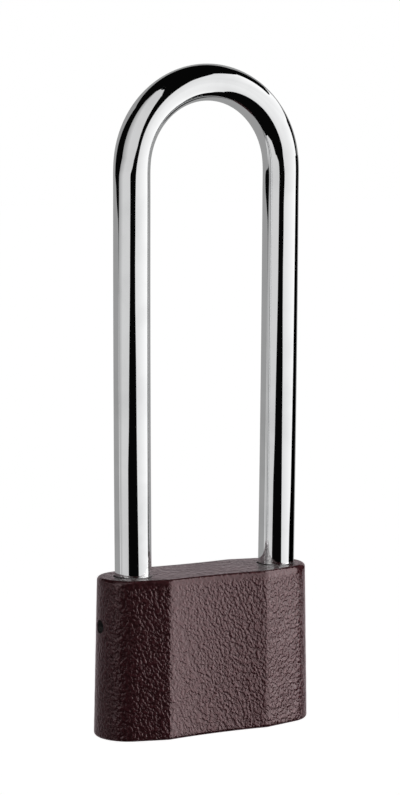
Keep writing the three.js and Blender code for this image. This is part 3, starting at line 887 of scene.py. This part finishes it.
def plug_bore(low, high, radius, lead):
    """A bore for the plug, with a short cone of the given depth where it starts."""
    profile = [(low - BEYOND, radius + lead + BEYOND), (low + lead, radius), (high, radius)]
    return lathe("cutter", profile, (plug_axis_x, 0, 0), sides=128)


cover_slot = rectangle(
    cover_low.x - SLOT_PLAY, SHELL_RADIUS + BEYOND, cover_low.y - SLOT_PLAY, cover_high.y + SLOT_PLAY
)
pin_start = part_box("cylinder_retaining_pin")[0].x - SLOT_PLAY
pin_end = [(pin_start, CHAMBER_RADIUS), (SHELL_RADIUS + BEYOND, CHAMBER_RADIUS)]
shell = lathe("shell", turned(shell_low.z, shell_high.z, SHELL_RADIUS, 0.25 * MM), sides=160)
carve(
    shell,
    [
        plug_bore(shell_low.z - BEYOND, shell_high.z + BEYOND, PLUG_RADIUS + PLUG_PLAY, 0.0),
        plug_bore(shell_low.z, FLANGE_TOP + SLOT_PLAY, FLANGE_RADIUS + PLUG_PLAY, 0.12 * MM),
        *chamber_cutters(plug_axis_x, SHELL_RADIUS + BEYOND),
        prism("cutter", cover_slot, cover_low.z - SLOT_PLAY, cover_high.z + SLOT_PLAY),
        lathe("cutter", pin_end, (0, 0, middle_z("cylinder_retaining_pin")), "x", 48),
    ],
)
soften(shell, 30)
shell.data.materials.append(BRASS)
place(shell, "case", "brass", "cylinder_shell")

# %% [markdown]
# The plug has a flange at its face and a seat for the clip near its top. The keyway, with a ward on each
# side, is cut from below, and its mouth is a little wider, to lead the key in. Keyway and chambers are cut
# along X here, as they point when the key goes in. The CAD plug rests a quarter turn from that, so this
# plug still has to be turned by 90 degrees about its axis to agree with its key pins and crank.

# %% Plug of the cylinder
CLIP_SEAT_RADIUS = 3.5 * MM
KEYWAY = rectangle(-3.3 * MM, 2.4 * MM, -0.75 * MM, 0.75 * MM)
KEYWAY_TOP = 21.0 * MM
WARDS = (rectangle(-2.7 * MM, -1.2 * MM, 0, 1.3 * MM), rectangle(-0.1 * MM, 1.2 * MM, -1.3 * MM, 0))
MOUTH = 0.14 * MM
TONGUE_HALF_WIDTH = 1.1 * MM
TONGUE_DEPTH = 1.45 * MM
clip_low, clip_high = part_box("plug_clip")


def plug_profile():
    """Face with a shallow dish, flange, long barrel, seat of the clip and broken top edge."""
    low, high = plug_low.z, plug_high.z
    face = [(low + 0.12 * MM, 3.75 * MM), (low, 3.9 * MM), (low, FLANGE_RADIUS - 0.2 * MM)]
    flange = [(low + 0.2 * MM, FLANGE_RADIUS), (FLANGE_TOP, FLANGE_RADIUS), (FLANGE_TOP, PLUG_RADIUS)]
    seat = [(clip_low.z - SLOT_PLAY / 2, PLUG_RADIUS), (clip_low.z - SLOT_PLAY / 2, CLIP_SEAT_RADIUS)]
    above = [(clip_high.z + SLOT_PLAY / 2, CLIP_SEAT_RADIUS), (clip_high.z + SLOT_PLAY / 2, PLUG_RADIUS)]
    top = [(high - 0.2 * MM, PLUG_RADIUS), (high, PLUG_RADIUS - 0.2 * MM)]
    return face + flange + seat + above + top


def slot_in_plug(outline, low, high, wider=0.0):
    """An upright slot with the outline given from the plug's own axis, made wider all round."""
    grown = [(x + math.copysign(wider, x), y + math.copysign(wider, y)) for x, y in outline]
    return prism("cutter", [(x + plug_axis_x, y) for x, y in grown], low, high)


tongue = rectangle(-PLUG_RADIUS - BEYOND, PLUG_RADIUS + BEYOND, -TONGUE_HALF_WIDTH, TONGUE_HALF_WIDTH)
plug = lathe("plug", plug_profile(), (plug_axis_x, 0, 0), sides=160)
carve(
    plug,
    [
        slot_in_plug(KEYWAY, plug_low.z - BEYOND, KEYWAY_TOP),
        slot_in_plug(KEYWAY, plug_low.z - BEYOND, plug_low.z + 2 * MOUTH, MOUTH),
        *(slot_in_plug(ward, plug_low.z - BEYOND, KEYWAY_TOP) for ward in WARDS),
        *chamber_cutters(plug_axis_x + 0.4 * MM, plug_axis_x + PLUG_RADIUS + BEYOND),
        slot_in_plug(tongue, plug_high.z - TONGUE_DEPTH, plug_high.z + BEYOND),
    ],
)
soften(plug, 30)
plug.data.materials.append(PLUG_BRASS)
place(plug, "plug", "brass", "cylinder_plug")

# %% [markdown]
# ## The pieces inside
#
# Pins, springs, clip, cover, crank and bolt keep their CAD shape, because almost nothing of them shows. Each
# only gets a better finish, in the material slot that it already has. The ends of the two retaining pins
# show in the cross holes, and are given a dark, oiled steel.

# %% Finishes of the pieces that keep their CAD shape
FINISHES = {"brass": BRASS, "steel": STEEL, "spring_steel": SPRING_STEEL}
for part in frame["record"]["subparts"]:
    if part["material_slot"] in FINISHES:
        frame["nodes"][part["node"]].material_slots[0].material = FINISHES[part["material_slot"]]
for name in RETAINING_PINS:
    frame["nodes"][name].material_slots[0].material = OILED_STEEL

# %% [markdown]
# ## The studio
#
# Chrome shows nothing but the room, so the room is built with care: a big soft panel on each side of the
# lens with a dark gap between them, a grey sheet behind, and darkness overhead. The panels are patches of
# a sphere round the lock, given as headings and heights in degrees. The lens doesn't see them, but the
# lock reflects them. Paint and bare metal each have panels of their own, joined to them by light linking,
# because the two need light of different strength. The paint also gets one thin bright strip on the heel
# side, just below the level of the studio's middle.


# %% Panels
STUDIO_RADIUS = 0.6
STUDIO_CENTRE = np.array([0.0, 0.0, 0.12])
PANEL_ROWS, PANEL_COLUMNS = 180, 50


def glow(name, left, right, reach, colour):
    """A material that gives light, more or less of it from the left to the right of the panel, and lets
    every ray go on through it, so that one panel never hides another."""
    material = bpy.data.materials.new(name)
    material.use_nodes = True
    tree = material.node_tree
    tree.nodes.clear()
    across = node(tree, "ShaderNodeAttribute", attribute_name="across").outputs["Fac"]
    strength = scaled(tree, across, 0.0, reach, left, right)
    light = node(tree, "ShaderNodeEmission", {"Color": colour, "Strength": strength})
    clear = node(tree, "ShaderNodeBsdfTransparent")
    both = node(tree, "ShaderNodeAddShader", {0: light.outputs[0], 1: clear.outputs[0]})
    out = node(tree, "ShaderNodeOutputMaterial")
    tree.links.new(both.outputs[0], out.inputs["Surface"])
    return material


def panel(name, shape, strengths, radius, colour):
    """A patch of a sphere. The heights list its levels, and each has a left and a right heading, with 0
    towards the front and 90 towards the toe side. Points between are blended in straight steps."""
    heights, lefts, rights = shape
    level = np.linspace(heights[0], heights[-1], PANEL_ROWS)
    left, right = np.interp(level, heights, lefts), np.interp(level, heights, rights)
    share = np.linspace(0, 1, PANEL_COLUMNS)
    heading = np.radians(left[:, None] + (right - left)[:, None] * share)
    rise = np.radians(np.repeat(level[:, None], PANEL_COLUMNS, axis=1))
    ray = np.stack([np.sin(heading) * np.cos(rise), -np.cos(heading) * np.cos(rise), np.sin(rise)], axis=2)
    made = sheet(name, STUDIO_CENTRE + radius * ray)
    across = made.data.attributes.new("across", "FLOAT", "POINT")
    across.data.foreach_set("value", np.tile(share, PANEL_ROWS))
    made.data.materials.append(glow(name, *strengths, colour))
    made.visible_camera = False
    made.visible_shadow = False
    return made


key_shape = (
    [-48, -32, -20, -17, -14, -11, -8, -5.5, -3.5, -1.5, -1, 5, 17, 20, 27, 30, 34, 48],
    [40, 22, 10, 5, 1, -2, -4, -8, -9, -7, -8, 8, 12, 13, 17, 19, 21, 42],
    [60, 84, 88, 88, 88, 88, 88, 88, 88, 88, 88, 88, 88, 119, 119, 88, 87, 78],
)
painted_key_shape = (
    [-38, -25, -15, -5, 5, 20, 34, 48],
    [34, 18, 11, 8, 10, 14, 21, 42],
    [44, 60, 74, 86, 88, 88, 88, 88],
)
painted_back_shape = ([-85, -60, 0, 17], [102, 102, 102, 104], [245, 262, 262, 255])
fill_shape = (
    [-40, -30, -13, -11, -9, -6.5, -4.5, 1, 3, 10, 45, 60, 70],
    [-100, -112, -118, -118, -118, -118, -118, -110, -104, -93, -92, -90, -72],
    [-74, -60, -56, -50, -48, -44, -41, -38, -26, -9, -9, -18, -45],
)
back_shape = (
    [-85, -60, -18, -16, -4, -1.6, 0.4, 12, 44],
    [118, 118, 118, 98, 98, 98, 98, 118, 124],
    [245, 262, 250, 249, 242, 242, 210, 213, 222],
)
skim_shape = ([-5, -1], [-118, -118], [-50, -50])
painted_fill_shape = (
    [-25, -10, 0, 45, 60],
    [-84, -88, -88, -88, -86],
    [-68, -62, -56, -12, -25],
)


# %% [markdown]
# The toe leg has a dark edge on its outer side that the heel leg hasn't. A gap in a distant panel would
# darken both legs, so a black card stands close to the toe leg instead, bent round it.

# %% Black card
CARD_ROWS, CARD_COLUMNS = 60, 12
CARD_RADIUS = 25 * MM
CARD_END = 107
CARD_SHAPE = ([36.5, 47, 58, 74, 90, 110, 125, 150], [50, 51, 58, 61.5, 65, 67, 69, 72])


def flag(name, heights, starts, end, radius):
    """A black card bent round the toe leg. The heights list its levels in millimetres, and each has the
    heading where the card starts. All of them end at the same heading."""
    level = np.linspace(heights[0], heights[-1], CARD_ROWS) * MM
    start = np.interp(level, np.array(heights) * MM, starts)
    heading = np.radians(start[:, None] + (end - start)[:, None] * np.linspace(0, 1, CARD_COLUMNS))
    rise = np.repeat(level[:, None], CARD_COLUMNS, axis=1)
    points = np.stack([TOE_X + radius * np.sin(heading), -radius * np.cos(heading), rise], axis=2)
    made = sheet(name, points)
    material, tree, shader = new_material("black_card")
    feed(tree, shader.inputs["Base Color"], (0.001, 0.001, 0.001, 1))
    shader.inputs["Specular IOR Level"].default_value = 0.0
    made.data.materials.append(material)
    made.visible_camera = False
    made.visible_shadow = False
    made.visible_diffuse = False


flag("black_card", *CARD_SHAPE, CARD_END, CARD_RADIUS)


# %% Which panel lights which pieces
def collection_of(name, members):
    """A named collection, used to say which pieces a panel lights."""
    made = bpy.data.collections.new(name)
    for member in members:
        made.objects.link(member)
    return made


painted = collection_of("painted", [case])
cad_pieces = [item for name, item in frame["nodes"].items() if name not in ("cast_case", "shackle")]
bare = collection_of("bare", [shackle, shell, plug] + cad_pieces)
WHITE, ROSE = (1, 1, 1, 1), (1, 0.86, 0.9, 1)
for name, receivers, radius, shape, strengths, colour in (
    ("key_for_paint", painted, 0.58, painted_key_shape, (1.5, 5.1, 1.0), WHITE),
    ("fill_for_paint", painted, 0.58, painted_fill_shape, (0.75, 0.9, 1.0), WHITE),
    ("skim_for_paint", painted, 0.59, skim_shape, (2.4, 2.0, 1.0), WHITE),
    ("back_for_paint", painted, 0.58, painted_back_shape, (0.68, 0.2, 1.0), ROSE),
    ("key_for_metal", bare, 0.6, key_shape, (0.76, 1.1, 1.0), WHITE),
    ("fill_for_metal", bare, 0.6, fill_shape, (0.34, 0.66, 0.4), WHITE),
    ("back_for_metal", bare, 0.6, back_shape, (0.33, 0.33, 1.0), WHITE),
):
    made = panel(name, shape, strengths, radius, colour)
    made.light_linking.receiver_collection = receivers

# %% [markdown]
# The floor gives its own light, so that it is evenly pale. The panels light only the lock, so they cast no
# shadow on it. It is clear from below, so the underside can be looked at.


# %% Floor and surroundings
FLOOR_HALF = 3.0
FLOOR_BOUNCE = 0.15


def floor_material():
    """White to the lens, and a weak light to everything else."""
    material = bpy.data.materials.new("pale_floor")
    material.use_nodes = True
    tree = material.node_tree
    shader = tree.nodes["Principled BSDF"]
    grain = noise(tree, object_place(tree), 40.0, 3.0, 0.5)
    feed(tree, shader.inputs["Base Color"], mixed(tree, grain, (0.86, 0.86, 0.86, 1), (0.9, 0.9, 0.9, 1)))
    shader.inputs["Roughness"].default_value = 0.9
    shader.inputs["Specular IOR Level"].default_value = 0.0
    seen = node(tree, "ShaderNodeLightPath").outputs["Is Camera Ray"]
    feed(tree, shader.inputs["Emission Strength"], scaled(tree, seen, 0.0, 1.0, FLOOR_BOUNCE, 1.0))
    shader.inputs["Emission Color"].default_value = (1, 1, 1, 1)
    clear = node(tree, "ShaderNodeBsdfTransparent")
    behind = node(tree, "ShaderNodeNewGeometry").outputs["Backfacing"]
    choice = node(tree, "ShaderNodeMixShader", {0: behind, 1: shader.outputs[0], 2: clear.outputs[0]})
    tree.links.new(choice.outputs[0], tree.nodes["Material Output"].inputs["Surface"])
    return material


floor_mesh = bpy.data.meshes.new("floor")
corners = [(x, y, 0.0) for x, y in rectangle(-FLOOR_HALF, FLOOR_HALF, -FLOOR_HALF, FLOOR_HALF)]
floor_mesh.from_pydata(corners, [], [(0, 1, 2, 3)])
floor = link(floor_mesh, "floor")
floor.data.materials.append(floor_material())
floor.visible_glossy = False

world = bpy.data.worlds.new("studio")
world.use_nodes = True
bpy.context.scene.world = world
sky = world.node_tree
seen = node(sky, "ShaderNodeLightPath").outputs["Is Camera Ray"]
sky.nodes["Background"].inputs["Strength"].default_value = 1.0
feed(sky, sky.nodes["Background"].inputs["Color"], mixed(sky, seen, (0.002, 0.002, 0.002, 1), (1, 1, 1, 1)))
bpy.context.scene.view_settings.view_transform = "Standard"
print("studio ready")
